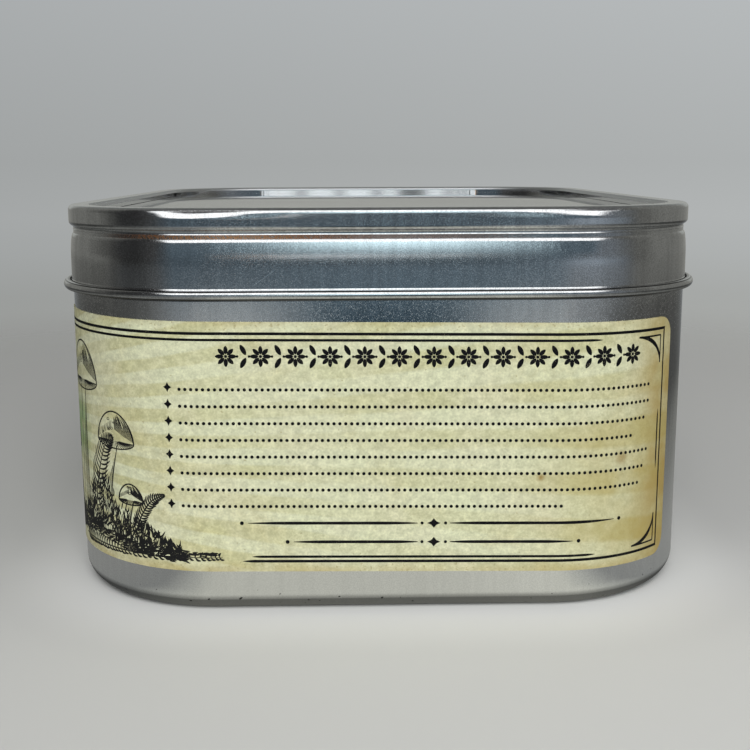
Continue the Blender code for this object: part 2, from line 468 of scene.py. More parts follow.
def tub_finish():
    """Satin tinplate, rubbed where the lid slides over it, with painted shade under the lid's curl, and
    duller inside.
    """
    def calm(x, y, z, outset):
        return step(z, 10.0, 40.0, 0.72, 0.0)

    material, shader, place, spot, base, rough, rub = tinplate("satin_tinplate", (0.84, 0.85, 0.86), calm)
    _, _, z, outset = spot
    brushed = rub * step(z, 36.0, 45.0)
    base = mix(brushed, base, shaded(base, (1.3, 1.3, 1.3)))
    fleck = step(noise(place, 1500.0, 0.0), 0.80, 0.84) * step(z, 5.0, 1.5)
    # painted shade: a black line on the neck just under the lid's curl
    painted_shade_under_curl = step(z, 46.93, 47.09)
    base = mix(highest(fleck, painted_shade_under_curl), base, BLACK)
    inner_wall = within(z, 3.4, 3.7, 46.0, 46.2) * step(outset, -0.10, -0.13)
    inside = highest(inner_wall, step(outset, -3.6, -3.8))
    base = mix(inside, base, shaded(base, (0.62, 0.62, 0.61)))
    fill(shader, {"Base Color": base, "Roughness": blend(inside, brushed * 0.17 + rough, 0.36)})
    return material


# from and to as (x, z) and half width in millimetres, and strength
SCRATCHES = (
    ((-18.4, 49.35), (-15.2, 51.6), 0.07, 0.8),
    ((-27.0, 49.3), (-18.4, 49.3), 0.05, 0.35),
    ((-26.2, 53.0), (-25.6, 52.8), 0.09, 0.6),
    ((5.2, 51.2), (6.6, 50.4), 0.05, 0.35),
    ((19.4, 53.4), (20.8, 53.1), 0.05, 0.3),
)


def lid_finish():
    """Brighter tinplate, with a few scratches on the skirt, brown tarnish in the groove, painted shade in
    the groove's middle, and painted shade under and over the curl.
    """
    def calm(x, y, z, outset):
        return step(outset, -2.7, -3.0)

    material, shader, place, spot, base, rough, _ = tinplate("bright_tinplate", (0.62, 0.63, 0.64), calm)
    x, y, z, outset = spot
    marks = []
    for (x0, z0), (x1, z1), half_width, strength in SCRATCHES:
        ends = {"From": (x0 * MM, 0.0, z0 * MM), "To": (x1 * MM, 0.0, z1 * MM)}
        mark = use_group(SCRATCH, {"Place": place, **ends, "Half Width": half_width * MM})
        marks.append(mark["Mask"] * strength)
    base = mix(highest(*marks), base, WHITE)

    in_groove = within(z, 55.75, 55.9, 56.36, 56.42) * step(y, -50.0, -62.0)
    along = step(x, -42.0, -32.0) * step(x, 4.0, -16.0, 0.22, 1.0) * step(x, 26.0, 14.0)
    brown = in_groove * along * step(noise(place, 3200.0, 2.0), 0.35, 0.6, 0.35, 1.0)
    base = mix(brown, base, (0.88, 0.42, 0.20))
    # painted shade: the groove's middle darker, tinted brown
    painted_groove_shade = in_groove * within(x, -22.0, -8.0, 10.0, 24.0)
    base = mix(painted_groove_shade, base, shaded(base, (0.62, 0.52, 0.48)))

    # painted shade: black under the curl, in the crevice over it and just below the ledge
    painted_shade_under_curl = step(z, 47.58, 47.42)
    painted_shade_over_curl = highest(within(outset, 0.36, 0.46, 0.80, 0.94), step(z, 48.62, 48.59))
    painted_shade_over_curl = painted_shade_over_curl * within(z, 48.42, 48.52, 49.0, 49.2)
    base = mix(highest(painted_shade_under_curl, painted_shade_over_curl), base, BLACK)
    recess_rough = step(z, 59.50, 59.62, 0.06, 0.45)
    rough = blend(step(outset, -2.7, -3.0), brown * 0.22 + rough, recess_rough)
    fill(shader, {"Base Color": base, "Roughness": rough})
    return material


def pane_finish():
    """Clear glossy plastic."""
    material, shader, place = new_material("clear_plastic")
    fill(shader, {
        "Base Color": (0.97, 0.985, 0.98, 1.0),
        "Transmission Weight": 1.0,
        "IOR": 1.49,
        "Roughness": step(noise(place, 900.0, 3.0), 0.35, 0.75, 0.01, 0.035),
        "Normal": relief(noise(place, 30.0, 1.0), 0.03 * MM),
    })
    return material


# ---------------- paper and inks

def paper_finish():
    """Matt parchment-toned paper: faint rays, mottling, warm edges and small stains."""
    material, shader, _ = new_material("label_paper")
    wall = result(material.node_tree, "ShaderNodeUVMap", uv_map="wall")
    u, v = [part / MM for part in split(wall)[:2]]
    foot = LABEL_BOTTOM / MM
    head = LABEL_TOP / MM

    angle = calc("ARCTAN2", v - (head + foot) / 2, abs(u - SIDE_MIDDLE / MM))
    wobble = (noise(wall, 55.0, 3.0) - 0.5) * 1.5
    ray = step(calc("SINE", angle * 118.0) + wobble, -0.35, 0.35)
    rayed = ray * step(noise(wall, 22.0, 2.0), 0.3, 0.62, 0.15, 0.85)
    base = mix(rayed, (0.580, 0.592, 0.400), (0.470, 0.452, 0.235))
    cloud = step(noise(wall, 95.0, 5.0, 0.62), 0.36, 0.70, 0.0, 0.75)
    base = mix(cloud, base, (0.582, 0.567, 0.390))
    tan = step(noise(wall, 62.0, 6.0, 0.66, 0.4), 0.48, 0.70, 0.0, 0.34)
    base = mix(tan, base, (0.470, 0.410, 0.190))
    for scale, detail, low, high in ((760.0, 5.0, 0.84, 1.12), (2700.0, 3.0, 0.90, 1.08)):
        base = shaded(base, step(noise(wall, scale, detail, 0.68), 0.32, 0.68, low, high))

    end_gap = calc("MINIMUM", LABEL_RIGHT / MM - u, u - LABEL_LEFT / MM)
    side_gap = calc("MINIMUM", head - v, v - foot)
    golden = step(end_gap, 34.0, 4.0, 0.0, 0.80) * step(v, 38.0, 22.0, 0.16, 1.0) * (ray * 0.45 + 0.72)
    golden = golden * step(noise(wall, 75.0, 4.0, 0.6), 0.30, 0.60, 0.45, 1.0)
    base = mix(golden, base, (0.37, 0.30, 0.085))
    low_warm = step(v, foot + 2.2, foot, 0.0, 0.5)
    warm = highest(step(end_gap, 11.0, 0.8), low_warm, step(side_gap, 1.2, 0.0, 0.0, 0.25))
    base = mix(warm * step(noise(wall, 140.0, 3.0), 0.38, 0.62, 0.45, 1.0), base, (0.36, 0.26, 0.08))

    wash = within(v, 18.0, 24.0, 28.0, 32.0) * within(u, -66.0, -60.0, -52.5, -47.0)
    base = mix(wash * step(noise(wall, 320.0, 3.0), 0.3, 0.6, 0.25, 0.8), base, (0.20, 0.33, 0.13))

    for middle, radius, strength in (((35.9, 23.2), 2.0, 0.6), ((23.1, 20.9), 1.35, 0.95)):
        off = wall.vector("DISTANCE", (middle[0] * MM, middle[1] * MM, 0.0), output=1) / MM
        ragged = noise(wall, 900.0, 2.0) * 0.9 + off
        base = mix(step(ragged, radius, 0.35 * radius, 0.0, strength), base, (0.25, 0.16, 0.035))

    limit = step(calc("MINIMUM", end_gap, side_gap), 2.5, 0.4) * -0.09 + 0.72
    speck = step(noise(wall, 1900.0, 1.0), limit, limit + 0.05, 0.0, 0.55)
    fill(shader, {
        "Base Color": mix(speck, base, (0.30, 0.25, 0.12)),
        "Roughness": 0.62,
        "Specular IOR Level": 0.35,
        "Normal": relief(noise(wall, 2400.0, 3.0), 0.01 * MM, 0.6),
    })
    return material


def ink_finish(name, colour, rubbed_colour, amount, roughness):
    """Printer's ink that has rubbed thin in places."""
    material, shader, place = new_material(name)
    rubbed = use_group(RUBBED, {"Place": place, "Amount": amount})["Mask"]
    base = mix(rubbed, colour, rubbed_colour)
    fill(shader, {"Base Color": base, "Roughness": roughness, "Specular IOR Level": 0.12})
    return material


# ---------------- sheet metal, swept round the plan

def end_tree(tree, geometry, given, out):
    """Real geometry with its finish, as a tree's result."""
    real = result(tree, "GeometryNodeRealizeInstances", {"Geometry": geometry})
    finished = result(tree, "GeometryNodeSetMaterial", {"Geometry": real, "Material": given["Finish"]})
    fill(out, {"Geometry": finished})
    return tree


def make_sweep_tree():
    """Geometry nodes: a section swept round a rounded rectangle."""
    inputs = {"Section": "Object", "Width": "Float", "Depth": "Float"}
    inputs.update({"Corner Radius": "Float", "Corner Steps": "Int", "Finish": "Material"})
    tree, given, out = new_tree("GeometryNodeTree", "swept_round_plan", inputs, {"Geometry": "Geometry"})
    size = {"Width": given["Width"], "Height": given["Depth"]}
    plan = result(tree, "GeometryNodeCurvePrimitiveQuadrilateral", size, mode="RECTANGLE")
    corners = {"Curve": plan, "Radius": given["Corner Radius"], "Count": given["Corner Steps"]}
    rounded = result(tree, "GeometryNodeFilletCurve", corners, mode="POLY")
    upright = result(tree, "GeometryNodeSetCurveNormal", {"Curve": rounded}, mode="Z_UP")
    section = result(tree, "GeometryNodeObjectInfo", {"Object": given["Section"]}, "Geometry")
    swept = result(tree, "GeometryNodeCurveToMesh", {"Curve": upright, "Profile Curve": section})
    return end_tree(tree, swept, given, out)


def s_bend(outset, height, shift, radius, segments=8):
    """Two opposite arcs down a wall that shift it outwards (inwards if negative)."""
    turn = math.acos(1.0 - abs(shift) / (2 * radius))
    out = math.copysign(radius, shift)
    turns = [turn * i / segments for i in range(segments + 1)]
    points = [(outset + out * (1 - math.cos(a)), height - radius * math.sin(a)) for a in turns]
    middle_out, middle_height = points[-1]
    for a in turns[-2::-1]:
        down = radius * (math.sin(turn) - math.sin(a))
        points.append((middle_out + out * (math.cos(a) - math.cos(turn)), middle_height - down))
    return points


def lid_section():
    """The lid's under face, from the window flange over the frame and down the skirt to the curl."""
    flange_face = TIN_HEIGHT - RECESS_DEPTH - PANE_THICKNESS - GAP - SHEET
    recess_face = SHEET + BAND_PROUD - FRAME_WIDTH + SHEET
    groove_face = BAND_PROUD - GROOVE_DEPTH
    frame_face = TIN_HEIGHT - SHEET
    bend = FLANGE_BEND_RADIUS
    inner = RECESS_EDGE_RADIUS - SHEET
    outer = TOP_EDGE_RADIUS - SHEET
    quarter = math.pi / 2

    points = [(recess_face - FLANGE_WIDTH, flange_face)]
    points += arc((recess_face - bend, flange_face + bend), bend, -quarter, quarter, 8)
    points += [(recess_face, flange_face + bend + rise * MM) for rise in (0.03, 0.08)]
    points += [(recess_face, frame_face - inner - drop * MM) for drop in (0.06, 0.02)]
    points += arc((recess_face + inner, frame_face - inner), inner, math.pi, -quarter, 8)
    points += arc((BAND_PROUD - outer, frame_face - outer), outer, quarter, -quarter, 14)
    points += [(BAND_PROUD, height * MM) for height in (59.35, 59.2, 59.05, 58.9, 58.75, 58.6, 58.45, 58.4)]
    points.append((BAND_PROUD, BAND_BOTTOM + 0.05 * MM))
    points += s_bend(BAND_PROUD, BAND_BOTTOM, groove_face - BAND_PROUD, BAND_BEND)
    points += [(groove_face, height * MM) for height in (56.6, 56.58, 56.56, 56.44, 56.42, 56.4, 56.36)]
    points += crowned_skirt()
    points += arc((CURL_RADIUS, CURL_CENTRE_HEIGHT), CURL_RADIUS, math.pi, CURL_TURN, 40)
    return points


def crowned_skirt():
    """Out of the groove over a rounded shoulder and down the crowned skirt, which leans in slightly."""
    crown = SKIRT_CROWN_HEIGHT * math.tan(SKIRT_CROWN_TILT) / 3
    lean = (SKIRT_TOP - CURL_CENTRE_HEIGHT) * SKIRT_LEAN
    shoulder = around((-crown - lean, SKIRT_TOP), -SHOULDER_RADIUS, SKIRT_CROWN_TILT)
    foot = around(shoulder, SHOULDER_RADIUS + SHOULDER_FOOT, SHOULDER_TILT)
    points = arc(foot, SHOULDER_FOOT, math.pi, SHOULDER_TILT, 6)[:-1]
    points += arc(shoulder, SHOULDER_RADIUS, SHOULDER_TILT, SKIRT_CROWN_TILT - SHOULDER_TILT, 14)
    steps = 12
    for i in range(1, steps + 1):
        share = i / steps
        down = share * SKIRT_CROWN_HEIGHT
        points.append((-crown * (1 - share) ** 3 - lean + down * SKIRT_LEAN, SKIRT_TOP - down))
    for height in (48.9, 48.82, 48.8, 48.78, 48.64, 48.62, 48.6, 48.57, 48.5):
        points.append(((CURL_CENTRE_HEIGHT - height * MM) * SKIRT_LEAN, height * MM))
    return points


def tub_section():
    """The tub's outer face from the base's edge to the necked rim."""
    r = BASE_EDGE_RADIUS
    points = arc((-r, r), r, -math.pi / 2, math.pi / 2, 16)
    points += [(0.0, 1.1 * r), (0.0, NECK_BOTTOM - 0.1 * MM), (0.0, NECK_BOTTOM)]
    return points + [(-GAP, NECK_TOP), (-GAP, RIM_HEIGHT)]


def sweep(name, section, material):
    """A sheet swept round the tin's plan from an (outset, height) section, facing outwards."""
    data = bpy.data.curves.new(name + "_section", "CURVE")
    data.dimensions = "2D"
    spline = data.splines.new("POLY")
    spline.points.add(len(section) - 1)
    for point, (outset, height) in zip(spline.points, section):
        point.co = (outset, -height, 0.0, 1.0)
    guide = show(name + "_section", data)
    values = {"Section": guide, "Width": BODY_WIDTH, "Depth": BODY_DEPTH, "Finish": material}
    values.update({"Corner Radius": CORNER_RADIUS, "Corner Steps": CORNER_STEPS})
    work = bmesh.new()
    work.from_mesh(nodes_result(name, SWEEP, values))
    bpy.data.objects.remove(guide, do_unlink=True)
    bmesh.ops.remove_doubles(work, verts=work.verts, dist=0.000001)
    bmesh.ops.recalc_face_normals(work, faces=work.faces)
    upright = [f for f in work.faces if abs(f.normal.z) < 0.1]
    if sum(f.normal.dot(f.calc_center_median()) * f.calc_area() for f in upright) < 0:
        bmesh.ops.reverse_faces(work, faces=work.faces)
    return work


def make_tub(material):
    """The tub: its wall swept round, and closed by a flat base."""
    work = sweep("tub", tub_section(), material)
    floor_loop = [e for e in work.edges if e.is_boundary and all(v.co.z < MM for v in e.verts)]
    bmesh.ops.contextual_create(work, geom=floor_loop)
    for face in work.faces:
        if len(face.verts) > 4 and face.normal.z > 0:
            face.normal_flip()
    return with_wall("tub", take_mesh(work, "tub"), material, SHEET, -1.0)


def make_lid(material):
    """The lid: its section swept round, with the finer pressing added."""
    lid = with_wall("lid", take_mesh(sweep("lid", lid_section(), material), "lid"), material, SHEET, 1.0)
    press_details(lid.data)
    return lid


def press_details(mesh):
    """Fine ledges above the groove's face and over the curl, and a softer top edge near the corners."""
    work = bmesh.new()
    work.from_mesh(mesh)
    for x in (6.0, 11.0, 14.5, 17.0, 19.0, 21.0, 23.0):
        for side in (-1, 1):
            plane = {"plane_co": (side * x * MM, 0.0, 0.0), "plane_no": (1.0, 0.0, 0.0)}
            bmesh.ops.bisect_plane(work, geom=[*work.verts, *work.edges, *work.faces], **plane)
    inner_edge = 2.0 * MM
    for vert in work.verts:
        x, y, _ = vert.co
        away = Vector((x - max(-CORE[0], min(CORE[0], x)), y - max(-CORE[1], min(CORE[1], y)), 0.0))
        outset = away.length - CORNER_RADIUS
        if outset < -inner_edge:
            continue
        if outset > -GROOVE_DEPTH + 0.1 * MM:
            for height, above, below, proud in LID_LEDGES:
                share = max((vert.co.z - height) / above, (height - vert.co.z) / below)
                if share < 1.0:
                    vert.co += away.normalized() * proud * (1 - share)
        rise = min(1.0, max(0.0, (vert.co.z - EASED_FROM) / (EASED_TO - EASED_FROM)))
        inner = min(1.0, (outset + inner_edge) / (1.4 * MM))
        eased = sum(
            (soft * (3 - 2 * rise) + steep) * rise * rise * math.exp(-((vert.co.x - middle) / half) ** 2)
            for middle, half, soft, steep in EASED_AT
        )
        vert.co -= away.normalized() * eased * inner
    work.to_mesh(mesh)
    work.free()
    smooth(mesh)


def make_pane(material):
    """The clear pane, with slightly eased edges."""
    inset = FRAME_WIDTH - SHEET - BAND_PROUD + GAP
    size = (BODY_WIDTH - 2 * inset, BODY_DEPTH - 2 * inset, PANE_THICKNESS)
    middle = TIN_HEIGHT - RECESS_DEPTH - PANE_THICKNESS / 2
    work = bmesh.new()
    bmesh.ops.create_cube(work, size=1.0)
    bmesh.ops.scale(work, verts=work.verts, vec=size)
    bmesh.ops.translate(work, verts=work.verts, vec=(0.0, 0.0, middle))

    def rise(edge):
        return abs(edge.verts[0].co.z - edge.verts[1].co.z)

    how = {"offset_type": "OFFSET", "profile": 0.5, "affect": "EDGES"}
    upright = [e for e in work.edges if rise(e) > PANE_THICKNESS / 2]
    bmesh.ops.bevel(work, geom=upright, offset=CORNER_RADIUS - inset, segments=CORNER_STEPS, **how)
    rim = [e for e in work.edges if rise(e) < PANE_THICKNESS / 4]
    bmesh.ops.bevel(work, geom=rim, offset=PANE_EDGE, segments=2, **how)
    return new_piece("window_pane", take_mesh(work, "window_pane"), material, 10.0)


SWEEP = make_sweep_tree()


# ---------------- the wall's own coordinates

def on_plan(u):
    """The point of the tub's plan at u, with the way out of the wall."""
    corners = [(-CORE[0], -CORE[1]), (-CORE[0], CORE[1]), (CORE[0], CORE[1]), (CORE[0], -CORE[1])]
    left = (FLAT_END / 2 - u) % (2 * HALF_ROUND)
    for turn, corner in enumerate(corners):
        flat = FLAT_SIDE if turn % 2 else FLAT_END
        facing = -math.pi / 2 * (turn + 1)
        if left <= flat:
            x, y = around(corner, CORNER_RADIUS, facing)
            x, y = around((x, y), left - flat, facing - math.pi / 2)
            return x, y, around((0.0, 0.0), 1.0, facing)
        left -= flat
        if left <= CORNER_LENGTH:
            turned = facing - left / CORNER_RADIUS
            return *around(corner, CORNER_RADIUS, turned), around((0.0, 0.0), 1.0, turned)
        left -= CORNER_LENGTH
    raise ValueError("u runs past the whole way round")


def on_wall(u, v, out):
    """A point of the label: along the wall, up it in the label's slightly skew frame, and off the wall."""
    x, y, away = on_plan(u)
    return Vector((x + out * away[0], y + out * away[1], v - LABEL_SKEW * x))


def is_round(u):
    """Whether the wall curves at u."""
    left = (FLAT_END / 2 - u) % HALF_ROUND
    return FLAT_END < left < FLAT_END + CORNER_LENGTH or left > HALF_ROUND - CORNER_LENGTH


def stations(start, end, flat_step):
    """Places along the wall from start down to end, close together where it curves."""
    found = [start]
    while found[-1] > end + 1e-9:
        here = found[-1]
        found.append(max(end, here - (CORNER_FACET if is_round(here - 1e-6) else flat_step)))
    return found


def make_label_sheet(material):
    """The paper band, its four corners rounded, with a UV map along the wall."""
    rounding = [LABEL_CORNER_RADIUS * (1 - math.cos(math.pi / 2 * i / 12)) for i in range(13)]
    places = [LABEL_RIGHT - part for part in rounding[:-1]]
    places += stations(LABEL_RIGHT - LABEL_CORNER_RADIUS, LABEL_LEFT + LABEL_CORNER_RADIUS, 2.4 * MM)
    places += [LABEL_LEFT + part for part in rounding[-2::-1]]
    rows = 16
    work = bmesh.new()
    wall_map = work.loops.layers.uv.new("wall")
    columns = []
    for u in places:
        short = LABEL_CORNER_RADIUS - min(LABEL_RIGHT - u, u - LABEL_LEFT, LABEL_CORNER_RADIUS)
        cut = LABEL_CORNER_RADIUS - math.sqrt(max(LABEL_CORNER_RADIUS ** 2 - short ** 2, 0.0))
        tall = LABEL_TOP - LABEL_BOTTOM - 2 * cut
        heights = [LABEL_BOTTOM + cut + tall * j / rows for j in range(rows + 1)]
        columns.append([(work.verts.new(on_wall(u, v, PAPER_BACK)), (u, v)) for v in heights])
    for right, left in zip(columns, columns[1:]):
        for j in range(rows):
            ring = [left[j], right[j], right[j + 1], left[j + 1]]
            face = work.faces.new([vert for vert, _ in ring])
            for loop, (_, at) in zip(face.loops, ring):
                loop[wall_map].uv = at
    return with_wall("label_sheet", take_mesh(work, "label_sheet"), material, PAPER_THICKNESS, 1.0)


# ---------------- flat printing, wrapped round afterwards

class Print:
    """Closed shapes of one ink, drawn flat as (u, v, height over the paper), then wrapped on the wall."""

    def __init__(self, name, material=None, height=INK_HEIGHT):
        self.name = name
        self.material = material
        self.top = height
        self.work = bmesh.new()

    def add(self, points, height):
        return [self.work.verts.new((u, v, height)) for u, v in points]

    def side_faces(self, low, high):
        for ring in zip(low, low[1:] + low[:1], high[1:] + high[:1], high):
            self.work.faces.new(ring)

    def prism(self, outline):
        """A filled outline, anticlockwise."""
        low = self.add(outline, -INK_ROOT)
        high = self.add(outline, self.top)
        self.work.faces.new(high)
        self.work.faces.new(low[::-1])
        self.side_faces(low, high)

    def stroke(self, points, width, start=1.0, end=1.0):
        """A line of ink; start and end are its width there, as shares of the full width."""
        points = spaced(points, CORNER_FACET)
        last = len(points) - 1
        rings = []
        for i, (u, v) in enumerate(points):
            before = points[max(i - 1, 0)]
            after = points[min(i + 1, last)]
            run = math.hypot(after[0] - before[0], after[1] - before[1]) or 1.0
            side = (-(after[1] - before[1]) / run, (after[0] - before[0]) / run)
            local = start + (end - start) * i / last
            half = width / 2 * (local + (1 - local) * math.sin(math.pi * i / last))
            left = (u + side[0] * half, v + side[1] * half)
            right = (u - side[0] * half, v - side[1] * half)
            rings.append(self.add((right, left), self.top) + self.add((left, right), -INK_ROOT))
        for a, b in zip(rings, rings[1:]):
            for k in range(4):
                m = (k + 1) % 4
                self.work.faces.new((a[k], b[k], b[m], a[m]))
        self.work.faces.new(rings[0])
        self.work.faces.new(rings[-1][::-1])

    def row(self, motif, start, pitch, count):
        """A motif repeated along a straight row."""
        values = {"Motif": motif, "Count": count, "Start": (*start, 0.0), "Pitch": (pitch, 0.0, 0.0)}
        mesh = nodes_result("row", ROW, {**values, "Finish": self.material})
        self.work.from_mesh(mesh)
        bpy.data.meshes.remove(mesh)

    def finish(self):
        """Cut wide shapes where the wall curves, wrap everything on the wall and make the piece."""
        for low, high in ((FLAT_END / 2, LABEL_RIGHT), (-FLAT_END / 2 - CORNER_LENGTH, -FLAT_END / 2)):
            self.cut_between(low, high)
            self.cut_between(-HALF_ROUND - high, -HALF_ROUND - low)
        bmesh.ops.recalc_face_normals(self.work, faces=self.work.faces)
        for vert in self.work.verts:
            vert.co = on_wall(vert.co.x, vert.co.y, PAPER_BACK + PAPER_THICKNESS + vert.co.z)
        return new_piece(self.name, take_mesh(self.work, self.name), self.material, 30.0)

    def cut_between(self, low, high):
        """Cut every face wider than a facet by planes across u, so that it can follow the corner."""
        count = round((high - low) / CORNER_FACET)
        for i in range(count + 1):
            u = low + (high - low) * i / count
            wide = [f for f in self.work.faces if crosses(f, u)]
            if wide:
                geom = [*wide, *{e for f in wide for e in f.edges}, *{v for f in wide for v in f.verts}]
                plane = {"plane_co": (u, 0.0, 0.0), "plane_no": (1.0, 0.0, 0.0)}
                bmesh.ops.bisect_plane(self.work, geom=geom, dist=1e-8, **plane)


def crosses(face, u):
    """Whether a face wider than a facet lies across u."""
    along = [vert.co.x for vert in face.verts]
    return min(along) < u - 1e-7 and max(along) > u + 1e-7 and max(along) - min(along) > CORNER_FACET * 1.5


def spaced(points, pitch):
    """The same line with no two points further apart than pitch."""
    found = [points[0]]
    for a, b in zip(points, points[1:]):
        count = max(1, math.ceil(math.hypot(b[0] - a[0], b[1] - a[1]) / pitch))
        for k in range(1, count + 1):
            found.append((a[0] + (b[0] - a[0]) * k / count, a[1] + (b[1] - a[1]) * k / count))
    return found


def curve_through(points, steps):
    """A smooth line through a few points (Catmull-Rom)."""
    def between(a, b, c, d, t):
        bend = 2 * a - 5 * b + 4 * c - d
        return 0.5 * (2 * b + (c - a) * t + bend * t * t + (3 * b - a - 3 * c + d) * t ** 3)

    ends = [points[0], *points, points[-1]]
    found = []
    for i in range(1, len(ends) - 2):
        for k in range(steps):
            found.append(tuple(between(*parts, k / steps) for parts in zip(*ends[i - 1:i + 3])))
    return found + [points[-1]]


def leaf_outline(length, width, turn=0.0, centre=(0.0, 0.0), shift=0.0):
    """An almond leaf, anticlockwise, moved along its own axis by shift."""
    points = []
    for i in range(20):
        a = 2 * math.pi * i / 20
        x = length / 2 * math.cos(a) + shift
        y = width / 2 * math.sin(a) * (0.55 + 0.45 * abs(math.sin(a)))
        across = x * math.cos(turn) - y * math.sin(turn)
        points.append((centre[0] + across, centre[1] + x * math.sin(turn) + y * math.cos(turn)))
    return points


def round_outline(radius, sides=10, centre=(0.0, 0.0), radius_up=None):
    return [around(centre, radius, 2 * math.pi * i / sides, radius_up) for i in range(sides)]


def lozenge_outline(width, height, centre):
    """A lozenge with sides drawn in slightly."""
    points = []
    for i in range(4):
        a = math.pi / 2 * i
        points.append(around(centre, width / 2, a, height / 2))
        points.append(around(centre, width * 0.2625, a + math.pi / 4, height * 0.2625))
    return points


def make_row_tree():
    """Geometry nodes: copies of a motif along a straight row."""
    inputs = {"Motif": "Object", "Count": "Int", "Start": "Vector", "Pitch": "Vector", "Finish": "Material"}
    tree, given, out = new_tree("GeometryNodeTree", "row_of_marks", inputs, {"Geometry": "Geometry"})
    places = {"Count": given["Count"], "Start Location": given["Start"], "Offset": given["Pitch"]}
    row = result(tree, "GeometryNodeMeshLine", places, mode="OFFSET")
    source = {"Object": given["Motif"], "As Instance": True}
    motif = result(tree, "GeometryNodeObjectInfo", source, "Geometry")
    placed = result(tree, "GeometryNodeInstanceOnPoints", {"Points": row, "Instance": motif})
    return end_tree(tree, placed, given, out)


ROW = make_row_tree()


def motif_object(name, outlines):
    """One printed mark of one or more filled outlines, as the object that rows repeat."""
    mark = Print(name)
    for outline in outlines:
        mark.prism(outline)
    return show(name, take_mesh(mark.work, name))


# ---------------- what is printed on each end

def end_place(far):
    """A function that moves a place drawn for the near end to the end it is for."""
    def place(u, v):
        return (-HALF_ROUND - u, v) if far else (u, v)
    return place


def print_border(ink, place):
    """Double rules and corner pieces round one end's panel."""
    left = -FLAT_END / 2 - CORNER_LENGTH
    top, bottom, right = RULE_TOP, RULE_BOTTOM, RULE_RIGHT
    low_left = -17.0 * MM
    over = RULE_WIDTH / 2
    fine_top = top - FINE_RULE_INSET
    fine_low = bottom + 0.7 * MM
    fine_left = -16.0 * MM
    fine_end = 28.0 * MM
    fine_right = right - FINE_RULE_INSET
    fine_middle = 25.2 * MM
    thin = FINE_RULE_WIDTH * 0.9
    for start, end, width, tip in (
        ((left, top), (right, top), RULE_WIDTH, 1.0),
        ((right, top + over), (right, bottom - over), RULE_WIDTH * 0.8, 1.0),
        ((right, bottom), (low_left, bottom), RULE_WIDTH, 1.0),
        ((low_left, bottom), (-21.0 * MM, bottom), RULE_WIDTH, 0.1),
        ((left, fine_top), (fine_end, fine_top), FINE_RULE_WIDTH, 1.0),
        ((fine_end, fine_top), (32.0 * MM, fine_top), FINE_RULE_WIDTH, 0.1),
        ((fine_left, fine_low), (-19.6 * MM, fine_low), FINE_RULE_WIDTH, 0.1),
        ((fine_left, fine_low), (fine_end, fine_low), FINE_RULE_WIDTH, 1.0),
        ((fine_end, fine_low), (31.8 * MM, fine_low), FINE_RULE_WIDTH, 0.1),
        ((fine_right, fine_middle), (fine_right, 29.8 * MM), thin, 0.1),
        ((fine_right, fine_middle), (fine_right, 20.5 * MM), thin, 0.1),
    ):
        ink.stroke([place(*start), place(*end)], width, 1.0, tip)
    print_spandrel(ink, place, (right - 0.95 * MM, top - 1.0 * MM), -5.1 * MM, -4.2 * MM)
    print_spandrel(ink, place, (right - 0.95 * MM, bottom + 0.95 * MM), -5.1 * MM, 4.4 * MM)


def print_spandrel(ink, place, corner, reach_u, reach_v):
    """A hollow corner piece whose long side is an arc bowed towards the corner."""
    u, v = corner
    bow = []
    for i in range(13):
        a = math.pi / 2 * i / 12
        bow.append((u + reach_u * (1 - math.sin(a)), v + reach_v * (1 - math.cos(a))))
    for line, width, ends in (
        ([(u + reach_u, v), corner], 0.26, 1.0), ([corner, (u, v + reach_v)], 0.22, 1.0), (bow, 0.62, 0.4),
    ):
        ink.stroke([place(*p) for p in line], width * MM, ends, ends)


def print_row(ink, place, motif, start, height, pitch, count):
    """A row of a motif, whichever end it is on."""
    first = place(start, height)
    ink.row(motif, first, place(start + pitch, height)[0] - first[0], count)


def print_title_row(ink, place, motifs):
    """A row of printer's flowers across the head of the panel."""
    pitch = 5.0 * MM
    half_count = 6
    start = 7.3 * MM - half_count * pitch
    print_row(ink, place, motifs["flower"], start, 38.9 * MM, pitch, 2 * half_count + 1)
    print_row(ink, place, motifs["leaves"], start + pitch / 2, 38.9 * MM, pitch, 2 * half_count)


def print_leaders(ink, place, motifs):
    """Eight dotted lines, each with a lozenge before it, for a list to be written on."""
    pitch = 0.86 * MM
    start = -29.6 * MM
    for i, end in enumerate((42.3, 42.0, 41.2, 38.4, 42.6, 41.6, 40.4, 27.6)):
        height = (34.0 - 2.504 * i) * MM
        print_row(ink, place, motifs["dot"], start, height, pitch, int((end * MM - start) / pitch))
        ink.prism(lozenge_outline(1.25 * MM, 1.5 * MM, place(-31.4 * MM, height + 0.25 * MM)))


def print_footers(ink, place):
    """Two centred dividers: tapered rules either side of a lozenge."""
    middle = 7.4 * MM
    for height, half in ((13.9 * MM, 27.5 * MM), (11.0 * MM, 20.8 * MM)):
        ink.prism(lozenge_outline(2.0 * MM, 1.5 * MM, place(middle, height)))
        for side in (-1, 1):
            inner = middle + side * 2.4 * MM
            tip = middle + side * half
            knee = inner + (tip - inner) * 0.45
            ink.stroke([place(inner, height), place(knee, height)], 0.46 * MM, 0.25, 1.0)
            ink.stroke([place(knee, height), place(tip, height)], 0.46 * MM, 1.0, 0.15)
            ink.prism(round_outline(0.24 * MM, 10, place(middle + side * 1.75 * MM, height)))
            ink.prism(round_outline(0.3 * MM, 10, place(tip + side * 0.9 * MM, height)))


# ---------------- the engraved drawing

class Pen:
    """Draws in millimetres from a foot point on the sheet."""

    def __init__(self, ink, place, foot):
        self.ink = ink
        self.place = place
        self.foot = foot

    def line(self, points, width, start=1.0, end=1.0):
        at = [self.place((self.foot[0] + x) * MM, (self.foot[1] + y) * MM) for x, y in points]
        self.ink.stroke(at, width * MM, start, end)

    def curve(self, points, steps, *widths):
        self.line(curve_through(points, steps), *widths)


